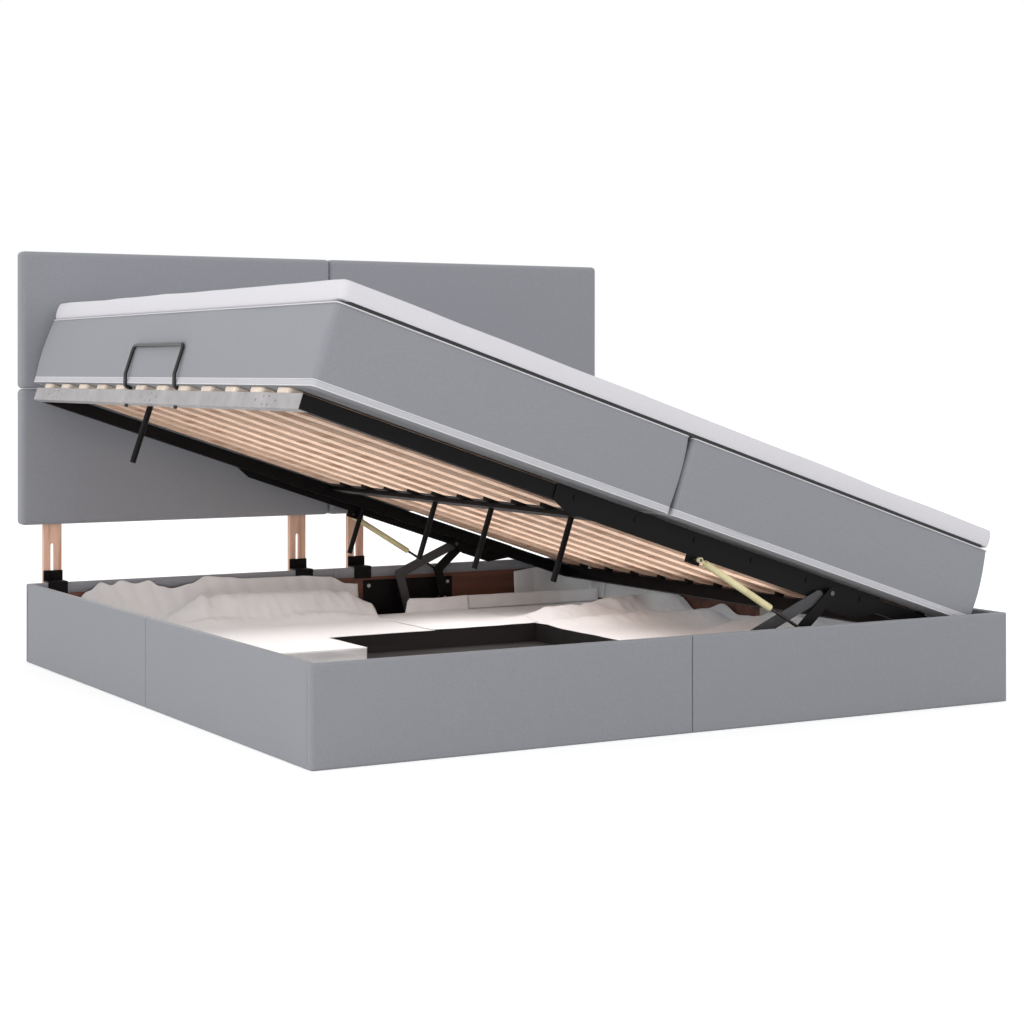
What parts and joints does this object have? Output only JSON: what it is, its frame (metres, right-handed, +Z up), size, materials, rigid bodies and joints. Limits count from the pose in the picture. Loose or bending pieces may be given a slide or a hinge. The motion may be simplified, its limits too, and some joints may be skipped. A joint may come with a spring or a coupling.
{
  "type": "ottoman storage bed",
  "caption": "Double bed with an upholstered storage base, a side-lifting slatted platform with mattresses and topper, and a padded headboard on slotted legs.",
  "frame": {"origin": "on the floor, at the middle of the whole footprint, headboard included", "axes": "+X across the bed from the side that lifts to the hinge side, +Y from foot to headboard, +Z up"},
  "size_m": [2.06, 2.1273, 1.249],
  "materials": {
    "panel_fabric": "matte",
    "headboard_fabric": "matte",
    "mattress_fabric": "matte",
    "topper_fabric": "matte",
    "liner_fabric": "matte",
    "board": "matte",
    "dark_board": "matte",
    "batten_wood": "matte",
    "slat_wood": "satin",
    "leg_wood": "satin",
    "black_steel": "satin",
    "silver_steel": "satin",
    "dark_steel": "satin",
    "zinc": "satin",
    "gas_tube": "satin",
    "piston_steel": "polished",
    "cap_plastic": "matte"
  },
  "bodies": {
    "root": {"foot_panel_boards": "board", "head_panel_boards": "board", "left_panel_boards": "board", "right_panel_boards": "board", "foot_panel_cover_left": "panel_fabric", "foot_panel_cover_right": "panel_fabric", "head_panel_cover_left": "panel_fabric", "head_panel_cover_right": "panel_fabric", "left_panel_cover_foot": "panel_fabric", "left_panel_cover_head": "panel_fabric", "right_panel_cover_foot": "panel_fabric", "right_panel_cover_head": "panel_fabric", "joining_plates": "zinc", "panel_screws": "zinc", "corner_angles": "zinc", "floor_battens": "batten_wood", "floor_board_left": "board", "floor_board_right": "board", "floor_board_head": "board", "leg_landing_boards": "dark_board", "storage_liner": "liner_fabric", "base_plate_foot": "black_steel", "base_plate_head": "black_steel", "base_pivot_pins": "zinc", "headboard_clamps": "black_steel", "clamp_bolts": "black_steel"},
    "lift_arms": {"lift_arm_foot": "black_steel", "lift_arm_head": "black_steel", "elbow_studs": "zinc"},
    "guide_levers": {"guide_lever_foot": "dark_steel", "guide_lever_head": "dark_steel"},
    "lid": {"left_end_beam": "silver_steel", "right_end_beam": "black_steel", "foot_rail": "black_steel", "head_rail": "black_steel", "middle_beam": "black_steel", "lid_plate_foot": "black_steel", "lid_plate_head": "black_steel", "lid_pins": "zinc", "plate_bolts": "black_steel", "slats_left_bay": "slat_wood", "slats_right_bay": "slat_wood", "slat_caps": "cap_plastic", "platform_legs": "black_steel", "lift_handle": "black_steel", "mattress_left": "mattress_fabric", "mattress_right": "mattress_fabric", "topper": "topper_fabric"},
    "gas_cylinders": {"gas_cylinder_foot": "gas_tube", "gas_cylinder_head": "gas_tube"},
    "gas_rods": {"gas_rod_foot": "piston_steel", "gas_rod_head": "piston_steel"},
    "headboard_left": {"headboard_pad_upper_left": "headboard_fabric", "headboard_pad_lower_left": "headboard_fabric", "headboard_legs_left": "leg_wood"},
    "headboard_right": {"headboard_pad_upper_right": "headboard_fabric", "headboard_pad_lower_right": "headboard_fabric", "headboard_legs_right": "leg_wood"}
  },
  "joints": [
    {"name": "lift_arm_hinge", "type": "hinge", "parent": "root", "child": "lift_arms", "pos_m": [0.39294, -0.026, 0.12682], "axis": [0, 1, 0], "range_deg": [0, 47.46]},
    {"name": "lid_tilt", "type": "hinge", "parent": "lift_arms", "child": "lid", "pos_m": [0.4706, -0.026, 0.31219], "axis": [0, 1, 0], "range_deg": [-65.82, 0]},
    {"name": "guide_lever_hinge", "type": "hinge", "parent": "root", "child": "guide_levers", "pos_m": [0.26803, -0.026, 0.04559], "axis": [0, 1, 0], "range_deg": [0, 32.76]},
    {"name": "gas_spring_hinge", "type": "hinge", "parent": "lid", "child": "gas_cylinders", "pos_m": [0.04803, -0.026, 0.41681], "axis": [0, 1, 0], "range_deg": [-22.19, 0]},
    {"name": "gas_spring_stroke", "type": "slide", "parent": "gas_cylinders", "child": "gas_rods", "axis": [0.8553, 0, -0.5181], "range_m": [-0.0712, 0]},
    {"name": "headboard_left_height", "type": "slide", "parent": "root", "child": "headboard_left", "axis": [0, 0, 1], "range_m": [-0.06, 0.04]},
    {"name": "headboard_right_height", "type": "slide", "parent": "root", "child": "headboard_right", "axis": [0, 0, 1], "range_m": [-0.06, 0.04]}
  ],
  "couplings": [
    {"joint": "lift_arm_hinge", "follows": "lid_tilt", "ratio": -0.7207},
    {"joint": "guide_lever_hinge", "follows": "lid_tilt", "ratio": -0.49742},
    {"joint": "gas_spring_hinge", "follows": "lid_tilt", "ratio": 0.33686},
    {"joint": "gas_spring_stroke", "follows": "lid_tilt", "m_per_rad": 0.061933}
  ]
}
